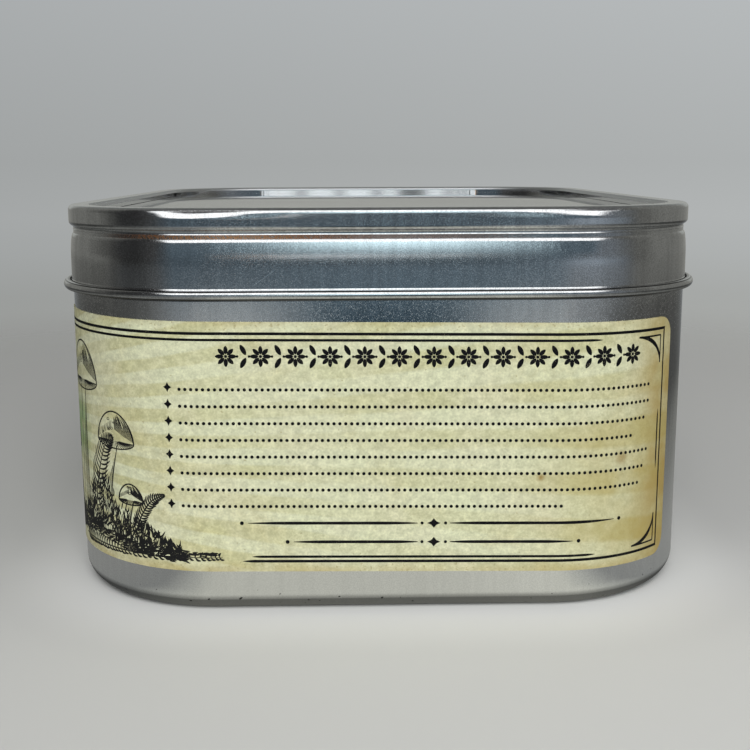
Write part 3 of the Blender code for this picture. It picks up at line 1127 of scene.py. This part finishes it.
def draw_toadstool(pen, base, height, cap_width, cap_height, lean, rng):
    """A gilled toadstool: hatched stem, gills under the rim, and a domed cap shaded with curved strokes."""
    x, y = base
    head = (x + lean, y + height)
    stem = 0.085 * cap_width + 0.35
    middle = (x + lean * 0.25, y + height * 0.5)
    for side in (-1, 1):
        line = [(x + side * stem * 1.5, y), (middle[0] + side * stem, middle[1])]
        pen.curve([*line, (head[0] + side * stem * 0.8, head[1])], 8, 0.2, 0.5, 0.8)
    for i in range(4):
        off = stem * (0.75 - 0.32 * i)
        top = 0.93 - 0.1 * i
        end = (head[0] * top + x * (1 - top) + off, y + height * top)
        pen.curve([(x + off * 1.5, y + 0.2), (middle[0] + off, middle[1]), end], 6, 0.13, 0.3, 0.2)

    rim_height = cap_width * 0.13
    half = cap_width / 2
    pen.line([around(head, half, math.pi + math.pi * i / 24, rim_height) for i in range(25)], 0.2)
    for i in range(21):
        a = math.pi + math.pi * (i + 0.5) / 21
        root = (head[0] + stem * 1.1 * math.cos(a), head[1] + 0.1)
        pen.line([root, around(head, half * 0.96, a, rim_height * 0.93)], 0.12, 0.4, 0.8)
    for side in (-1, 1):
        pen.line([(head[0] + side * half, head[1]), (head[0] + side * stem, head[1] + 0.15)], 0.1)

    def dome(share, a):
        return around(head, half * share, a, cap_height * (0.8 + 0.2 * math.sin(a)))

    pen.line([dome(1.0, math.pi * i / 26) for i in range(27)], 0.24)
    for i in range(16):
        share = 0.95 - 0.058 * i
        reach = math.pi * (0.14 + 0.26 * rng.random()) * (1 - 0.03 * i)
        start = math.pi * (0.03 + 0.008 * i)
        pen.line([dome(share, start + reach * k / 7) for k in range(8)], 0.14, 1.0, 0.15)
    for i in range(8):
        start = 0.97 - 0.02 * i
        pen.line([dome(0.93 - 0.11 * i, math.pi * (start - 0.02 * k)) for k in range(6)], 0.13, 1.0, 0.15)
    for _ in range(7):
        a = math.pi * rng.uniform(0.35, 0.8)
        cx, cy = dome(rng.uniform(0.2, 0.8), a)
        cy = head[1] + (cy - head[1]) * rng.uniform(0.45, 0.85)
        r = rng.uniform(0.14, 0.34)
        pen.line([around((cx, cy), r, math.pi * k / 4, r * 0.6) for k in range(9)], 0.1)


def draw_fern(pen, base, length, lean, bend, rng):
    """A fern frond: a bent midrib with paired leaflets that shorten to its tip."""
    x, y = base
    line = [base, (x + lean * 0.35, y + length * 0.45), (x + lean, y + length * 0.85)]
    rib = curve_through([*line, (x + lean + bend, y + length)], 8)
    pen.line(rib, 0.22, 1.0, 0.3)
    count = len(rib)
    for i in range(4, count - 1):
        here, after = rib[i:i + 2]
        heading = math.atan2(after[1] - here[1], after[0] - here[0])
        share = min(1.0, 0.22 + i / count * 0.8)
        size = length * 0.2 * math.sin(math.pi * share) * rng.uniform(0.9, 1.08)
        for side in (-1, 1):
            a = heading + side * math.radians(62.0)
            leaflet = [here, around(here, size * 0.5, a), around(here, size, a - side * 0.25)]
            pen.curve(leaflet, 4, 0.3, 0.5, 0.05)


def draw_grass(pen, base, count, height, spread, rng):
    """A tuft of tapering blades."""
    x, y = base
    for _ in range(count):
        foot = x + rng.uniform(-0.3, 0.3) * spread
        side = rng.uniform(-1.0, 1.0)
        tall = height * rng.uniform(0.45, 1.0)
        blade = [(foot, y), (foot + side * spread * 0.2, y + tall * 0.6)]
        pen.curve([*blade, (foot + side * spread * 0.8, y + tall)], 4, rng.uniform(0.13, 0.24), 1.0, 0.05)


def draw_ground(pen, start, end, height, rng):
    """Broken strokes of ground, denser towards its start, over one long line."""
    span = end - start
    for _ in range(270):
        share = rng.random() ** 1.6
        x = start + span * share
        y = height(x) + rng.uniform(-1.3, 0.5) * (1 - 0.55 * share)
        length = rng.uniform(0.5, 1.9)
        middle = (x + length * 0.5, y + rng.uniform(-0.1, 0.14))
        pen.line([(x, y), middle, (x + length, y - 0.05)], 0.2, 0.35, 0.2)
    pen.line([(start + span * i / 30, height(start + span * i / 30)) for i in range(31)], 0.2, 1.0, 0.3)


def draw_thicket(pen, start, end, top, bank, rng):
    """Undergrowth: a dense mass of short strokes, upright above and lying flat on the ground."""
    for _ in range(760):
        x = rng.uniform(start, end)
        share = rng.random() ** 1.5
        base = (x, bank(x) - 1.3 + (top(x) + 1.3) * share)
        tilt = rng.uniform(-25.0, 25.0)
        angle = math.radians(tilt + 90.0 * min(1.0, share * 2.2) * rng.choice((0.75, 1.0, 1.25)))
        length = rng.uniform(0.7, 1.7)
        middle = around(base, length * 0.5, angle + rng.uniform(-0.3, 0.3))
        pen.line([base, middle, around(base, length, angle)], rng.uniform(0.2, 0.4), 0.6, 0.15)


def draw_twig(pen, base, length, rise, rng):
    """A fallen twig with small paired leaves, lying along the foot of the drawing."""
    x, y = base
    line = [base, (x + length * 0.4, y + rise * 0.2), (x + length, y + rise)]
    line = curve_through(line, round(length * 0.7))
    pen.line(line, 0.22, 1.0, 0.25)
    for i in range(2, len(line) - 1):
        for side in (-1, 1):
            size = rng.uniform(1.1, 1.5) * (1.1 - 0.5 * i / len(line))
            a = math.radians(20.0 + side * 48.0)
            leaf = [line[i], around(line[i], size * 0.55, a + side * 0.35), around(line[i], size, a)]
            pen.curve(leaf, 3, 0.34, 0.2, 0.05)


def draw_woodland(ink, place, seed):
    """Toadstools, fern and grass on a bank round the corner left of the panel."""
    rng = random.Random(seed)
    pen = Pen(ink, place, (-56.0, 9.0))

    def bank(x):
        return 2.0 * math.exp(-((x - 7.0) / 9.0) ** 2) + 0.6 * math.exp(-((x - 22.0) / 7.0) ** 2) - 0.2

    def growth(x):
        return 8.5 * math.exp(-((x - 11.0) / 6.0) ** 2) + 2.2 * math.exp(-((x - 20.0) / 4.0) ** 2)

    draw_ground(pen, -6.0, 30.0, bank, rng)
    draw_thicket(pen, -2.0, 26.0, growth, bank, rng)
    for x, *sizes in (
        (4.5, 22.5, 10.5, 6.2, 0.8), (11.8, 14.6, 8.2, 4.6, 2.6),
        (0.2, 12.0, 6.4, 3.6, -2.4), (16.2, 6.4, 4.8, 2.6, 1.2),
    ):
        draw_toadstool(pen, (x, bank(x)), *sizes, rng)
    for x, *sizes in ((8.2, 15.0, 3.6, 2.4), (-3.2, 17.0, -2.6, -2.8), (17.8, 8.2, 3.4, 2.4)):
        draw_fern(pen, (x, bank(x)), *sizes, rng)
    for x, *sizes in (
        (-4.0, 14, 5.0, 3.0), (1.5, 16, 4.6, 3.0), (6.5, 18, 5.6, 3.2), (10.5, 12, 4.2, 2.6),
        (14.5, 14, 4.4, 3.0), (19.0, 12, 3.0, 2.4), (23.0, 8, 2.0, 2.0),
    ):
        draw_grass(pen, (x, bank(x) - 0.6), *sizes, rng)
    draw_twig(pen, (3.5, -0.9), 28.5, 0.5, rng)


# ---------------- long side of the label

def ticket_outline(grow=0.0):
    """The field's outline, its corners cut away by quarter circles, anticlockwise."""
    points = []
    for sx, sy, start in ((1, -1, math.pi), (1, 1, -math.pi / 2), (-1, 1, 0.0), (-1, -1, math.pi / 2)):
        edge = PANEL_TOP + grow if sy > 0 else PANEL_BOTTOM - grow
        points += arc((SIDE_MIDDLE + sx * (PANEL_HALF + grow), edge), NOTCH, start, -math.pi / 2, 8)
    return points


def oval_outline(grow=0.0):
    return round_outline(OVAL[0] + grow, 96, (SIDE_MIDDLE, PANEL_MIDDLE), OVAL[1] + grow)


def make_side_panel(material):
    """The sage field of the long side with a bare oval left in its middle."""
    field = Print("label_panel", material, PANEL_HEIGHT)
    work = field.work
    loops = []
    for height in (PANEL_HEIGHT, -INK_ROOT):
        rings = [field.add(ring, height) for ring in (ticket_outline(), oval_outline())]
        edges = [work.edges.new(pair) for ring in rings for pair in zip(ring, ring[1:] + ring[:1])]
        bmesh.ops.triangle_fill(work, use_beauty=True, edges=edges)
        loops.append(rings)
    for high, low in zip(*loops):
        field.side_faces(low, high)
    return field.finish()


def print_side(ink):
    """Rules round the long side's field, an oval frame and a sprig each side of it."""
    for outline, grow, width in (
        (ticket_outline, 1.0, 0.3), (ticket_outline, -0.9, 0.18),
        (oval_outline, 0.0, 0.34), (oval_outline, -1.0, 0.18),
    ):
        line = outline(grow * MM)
        ink.stroke([*line, line[0]], width * MM)
    rng = random.Random(7)
    for side in (-1, 1):
        def place(u, v, side=side):
            return SIDE_MIDDLE + side * u, v
        pen = Pen(ink, place, (0.0, PANEL_MIDDLE / MM))
        draw_fern(pen, (25.0, -9.5), 17.5, 5.6, 2.0, rng)
        draw_grass(pen, (26.0, -10.0), 12, 6.0, 4.0, rng)
        draw_twig(pen, (24.5, -10.6), 9.5, 0.3, rng)


def make_printing(black, soft_black):
    """All the black printing: borders and rows in one piece, the engraved drawings in another."""
    petals = [leaf_outline(1.25 * MM, 0.62 * MM, math.pi / 4 * k, shift=0.92 * MM) for k in range(8)]
    leaves = [
        leaf_outline(1.7 * MM, 0.72 * MM, math.radians(90 + 28 * s), (0.0, s * 0.95 * MM)) for s in (1, -1)
    ]
    berries = [round_outline(0.2 * MM, 8, (s * 0.85 * MM, 0.0)) for s in (-1, 1)]
    motifs = {
        "dot": motif_object("dot_motif", [round_outline(0.26 * MM, 8)]),
        "flower": motif_object("flower_motif", petals + [round_outline(0.24 * MM)]),
        "leaves": motif_object("leaves_motif", leaves + berries),
    }
    rules = Print("label_rules", black)
    drawing = Print("label_drawing", soft_black)
    for far in (False, True):
        place = end_place(far)
        print_border(rules, place)
        print_title_row(rules, place, motifs)
        print_leaders(rules, place, motifs)
        print_footers(rules, place)
        draw_woodland(drawing, place, 11 + far)
    print_side(drawing)
    for motif in motifs.values():
        bpy.data.objects.remove(motif, do_unlink=True)
    return rules.finish(), drawing.finish()


# ---------------- studio

def make_floor():
    """A pale paper floor with painted shade behind the tin, that fades into the backdrop."""
    work = bmesh.new()
    bmesh.ops.create_circle(work, cap_ends=True, segments=128, radius=0.6)
    floor = show("floor", take_mesh(work, "floor"))
    floor.location.z = -0.02 * MM

    material, shader, place = new_material("pale_floor")
    tree = material.node_tree
    x, y, _, gap = in_mm(place)
    reach = place.vector("LENGTH", output=1)
    # painted shade and light: the floor darker behind the tin, brighter close to its foot and towards the
    # right
    shade = step(y, -85.0, -20.0, FLOOR_FRONT, FLOOR_BACK) * step(gap, 2.0, 16.0, 1.16, 1.0)
    shade = shade * (x * step(y, -85.0, -20.0, 0.00115, 0.0006) + 1.0)
    tone = {0: (1.0, 1.0, 0.975), "Scale": shade}
    fill(shader, {
        "Base Color": result(tree, "ShaderNodeVectorMath", tone, operation="SCALE"),
        "Roughness": 0.8,
        "Specular IOR Level": 0.1,
        "Alpha": step(reach, 0.15, 0.34, 1.0, 0.0),
    })

    # what the tin mirrors of the floor, near it and further off: a painted reflection, glowing for glossy
    # rays only
    near = ramp(abs(x - 1.8) / 100.0, (
        (0.0, (0.50, 0.50, 0.44)), (0.29, (0.50, 0.50, 0.44)), (0.36, (0.37, 0.375, 0.34)),
        (0.44, (0.215, 0.22, 0.21)), (0.60, (0.235, 0.238, 0.225)), (1.0, (0.16, 0.162, 0.15)),
    ))
    # painted shade: the mirrored floor darker right by the tin's foot, and a little brighter towards the
    # right
    near = shaded(shaded(near, step(gap, 0.0, 2.9, 0.44, 1.0)), step(gap, 0.0, 0.4, 0.55, 1.0))
    near = shaded(near, step(x, 8.0, 26.0, 1.0, 1.12))
    slope = abs(x / highest(abs(y), 1.0) - 0.028)
    far = ramp(slope / (slope + 1.0), (
        (0.0, (0.016, 0.035, 0.052)), (0.070, (0.020, 0.041, 0.058)), (0.088, (0.090, 0.120, 0.140)),
        (0.110, (0.230, 0.255, 0.270)), (0.145, (0.325, 0.345, 0.350)), (0.24, (0.290, 0.300, 0.300)),
        (0.31, (0.240, 0.255, 0.262)), (0.44, (0.160, 0.168, 0.170)), (0.55, (0.095, 0.098, 0.094)),
        (0.67, (0.066, 0.067, 0.064)), (1.0, (0.052, 0.053, 0.050)),
    ))
    glow = result(tree, "ShaderNodeEmission", {"Color": mix(step(gap, 50.0, 140.0), near, far)})
    clear = result(tree, "ShaderNodeBsdfTransparent")
    mirrored = result(tree, "ShaderNodeMixShader", {0: step(reach, 0.52, 0.47), 1: clear, 2: glow})
    glossy_ray = result(tree, "ShaderNodeLightPath", output="Is Glossy Ray")
    plain = Value(tree, shader.outputs[0])
    both = result(tree, "ShaderNodeMixShader", {0: glossy_ray, 1: plain, 2: mirrored})
    fill(tree.nodes["Material Output"], {"Surface": both})
    floor.data.materials.append(material)


def studio_ramp(value, *parts):
    """A ramp of studio brightness, given in true values and kept under 1 by the world's strength."""
    stops = [stop for part in parts for stop in part]
    return ramp(value, [(where, [part / STUDIO_STRENGTH for part in colour]) for where, colour in stops])


def at(degrees):
    """Where a bearing lies on a ramp that goes all the way round."""
    return 0.5 + degrees / 360.0


def greys(tint, *stops):
    """Ramp stops of one tint at (degrees, brightness)."""
    return [(at(degrees), [value * part for part in tint]) for degrees, value in stops]


def make_world():
    """Plain grey backdrop for the camera; for light and reflections, a softbox overhead in front."""
    world = bpy.data.worlds.new("studio")
    bpy.context.scene.world = world
    world.use_nodes = True
    tree = world.node_tree
    tree.nodes.clear()
    x, y, z = split(result(tree, "ShaderNodeTexCoord", output="Generated"))

    backdrop = ramp((z + 0.5) / 0.7, [((sine + 0.5) / 0.7, colour) for sine, colour in (
        (-0.457, (0.575, 0.575, 0.55)), (-0.40, (0.515, 0.515, 0.49)), (-0.337, (0.435, 0.437, 0.42)),
        (-0.30, (0.400, 0.404, 0.388)), (-0.25, (0.395, 0.399, 0.380)), (-0.15, (0.350, 0.358, 0.345)),
        (-0.11, (0.352, 0.363, 0.354)), (-0.075, (0.385, 0.400, 0.398)), (-0.045, (0.405, 0.420, 0.420)),
        (0.0, (0.385, 0.400, 0.400)), (0.06, (0.405, 0.422, 0.425)), (0.14, (0.435, 0.455, 0.462)),
    )])
    backdrop = shaded(backdrop, step(x, -0.35, 0.35, 0.91, 1.09, "LINEAR"))

    front = y * -1.0
    angle = calc("ARCTAN2", z, front) * (0.5 / math.pi) + 0.5
    turn = calc("ARCTAN2", x, front) * (0.5 / math.pi) + 0.5
    warm = (1.02, 1.02, 0.94)
    cool = (0.76, 1.03, 1.24)
    high = studio_ramp(
        angle,
        greys(cool, (-2, 0.14), (24, 0.14)),
        greys(WHITE, (30, 1.75), (60, 1.75), (66, 0.12)),
        greys((0.97, 1.0, 0.95), (150, 0.22), (162, 0.34), (168, 0.42), (179, 0.42)),
    )
    low = studio_ramp(
        turn,
        greys(warm, (-180, 0.30), (-139, 0.15), (-115, 0.13), (-92, 0.105)),
        greys((0.95, 1.0, 1.02), (-73, 0.07), (-59, 0.068), (-43, 0.105)),
        greys(cool, (-31, 0.135), (-19, 0.15), (-8, 0.135), (-4, 0.18), (1, 0.25), (5, 0.23), (10, 0.18)),
        greys((0.93, 1.0, 1.06), (22, 0.20), (44, 0.205), (60, 0.195)),
        greys(warm, (75, 0.185), (97, 0.18), (122, 0.18), (180, 0.30)),
    )
    level = studio_ramp(
        turn,
        greys(warm, (-180, 0.36), (-139, 0.20), (-115, 0.19), (-92, 0.10)),
        greys(WHITE, (-76, 0.038), (-60, 0.034), (-45, 0.06)),
        greys(cool, (-31, 0.10), (-8, 0.11), (-3, 0.11), (6, 0.11), (11, 0.13)),
        greys((0.90, 1.0, 1.10), (31, 0.19), (50, 0.19)),
        greys(warm, (72, 0.13), (97, 0.20), (122, 0.19), (180, 0.36)),
    )
    strip = studio_ramp(
        turn,
        greys(warm, (-180, 0.36), (-139, 0.20), (-115, 0.19), (-97, 0.22), (-73, 0.02), (-52, 0.028)),
        greys(cool, (-31, 0.09), (-8, 0.085), (-3, 0.045), (6, 0.045), (9.3, 0.11)),
        greys((0.85, 1.0, 1.16), (11, 0.26), (22, 0.50), (31, 0.62), (40, 0.52), (50, 0.36), (60, 0.22)),
        greys(warm, (71, 0.10), (97, 0.20), (122, 0.19), (180, 0.36)),
    )
    light = mix(step(z, -0.08, -0.03), low, level)
    light = mix(within(z, -0.070, -0.055, -0.040, -0.026), light, strip)
    light = mix(step(z, -0.02, 0.08) * within(x, -0.62, -0.50, 0.56, 0.68), light, high)
    glow = step(abs(turn - at(2.4)), 9.5 / 360, 1.5 / 360) * within(z, -0.04, 0.31, 0.45, 0.60)
    light = mix(glow * 0.97, light, (0.74, 0.94, 1.0))

    # the lamps' ramp spans 16 degrees
    stops = [(0.0, UNLIT)]
    for first, last, tint in LAMPS:
        edges = ((first - 0.15, UNLIT), (first + 0.1, tint), (last - 0.1, tint), (last + 0.15, UNLIT))
        stops += [((degrees + 8.0) / 16.0, colour) for degrees, colour in edges]
    lamps = studio_ramp((turn - 0.5) * 22.5 + 0.5, stops)
    at_lamps = within(z, 0.012, 0.020, 0.036, 0.045) * step(abs(turn - 0.5), 0.025, 0.02)
    light = mix(at_lamps, light, lamps)

    lit = result(tree, "ShaderNodeBackground", {"Color": light, "Strength": STUDIO_STRENGTH})
    seen = result(tree, "ShaderNodeBackground", {"Color": backdrop, "Strength": 1.0})
    camera_ray = result(tree, "ShaderNodeLightPath", output="Is Camera Ray")
    both = result(tree, "ShaderNodeMixShader", {0: camera_ray, 1: lit, 2: seen})
    put_node(tree, "ShaderNodeOutputWorld", {"Surface": both})


def add_fill_light():
    """A soft light from above in front that the tin doesn't mirror."""
    data = bpy.data.lights.new("front_fill", "AREA")
    data.shape = "SQUARE"
    data.size = 0.5
    data.energy = 6.0
    lamp = show("front_fill", data)
    lamp.location = (0.02, -0.75, 0.55)
    lamp.rotation_mode = "QUATERNION"
    lamp.rotation_quaternion = (Vector((0.0, 0.0, 0.03)) - lamp.location).to_track_quat("-Z", "Y")
    lamp.visible_glossy = False
    lamp.visible_camera = False


def make_camera():
    """The photograph's viewpoint."""
    data = bpy.data.cameras.new("camera")
    data.lens = CAMERA_LENS
    data.sensor_width = SENSOR_WIDTH
    data.clip_start = 0.01
    data.clip_end = 20.0
    camera = show("camera", data)
    turned = Matrix.Translation(CAMERA_PLACE)
    for angle, axis in ((-CAMERA_YAW, "Z"), (math.pi / 2 - CAMERA_PITCH, "X"), (CAMERA_ROLL, "Z")):
        turned = turned @ Matrix.Rotation(angle, 4, axis)
    camera.matrix_world = turned
    bpy.context.scene.camera = camera


# ---------------- put it together

def main():
    make_camera()
    make_floor()
    make_world()
    add_fill_light()
    bpy.context.scene.view_settings.view_transform = "Standard"

    black = ink_finish("black_ink", (0.005, 0.005, 0.006), (0.14, 0.13, 0.09), 0.10, 0.5)
    soft_black = ink_finish("engraving_ink", (0.012, 0.012, 0.012), (0.22, 0.21, 0.14), 0.12, 0.55)
    sage = ink_finish("sage_ink", (0.235, 0.325, 0.195), (0.42, 0.45, 0.27), 0.16, 0.58)

    tub = make_tub(tub_finish())
    lid = make_lid(lid_finish())
    pane = make_pane(pane_finish())
    sheet = make_label_sheet(paper_finish())
    panel = make_side_panel(sage)
    rules, drawing = make_printing(black, soft_black)

    for piece, slot_name in (
        (tub, "tub_tinplate"),
        (lid, "lid_tinplate"),
        (pane, "window_plastic"),
        (sheet, "label_paper"),
        (panel, "label_paper"),
        (rules, "label_paper"),
        (drawing, "label_paper"),
    ):
        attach(piece, "root")
    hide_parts("tin_body")
    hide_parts("tin_lid")
    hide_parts("lid_window")
    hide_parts("paper_label")


main()
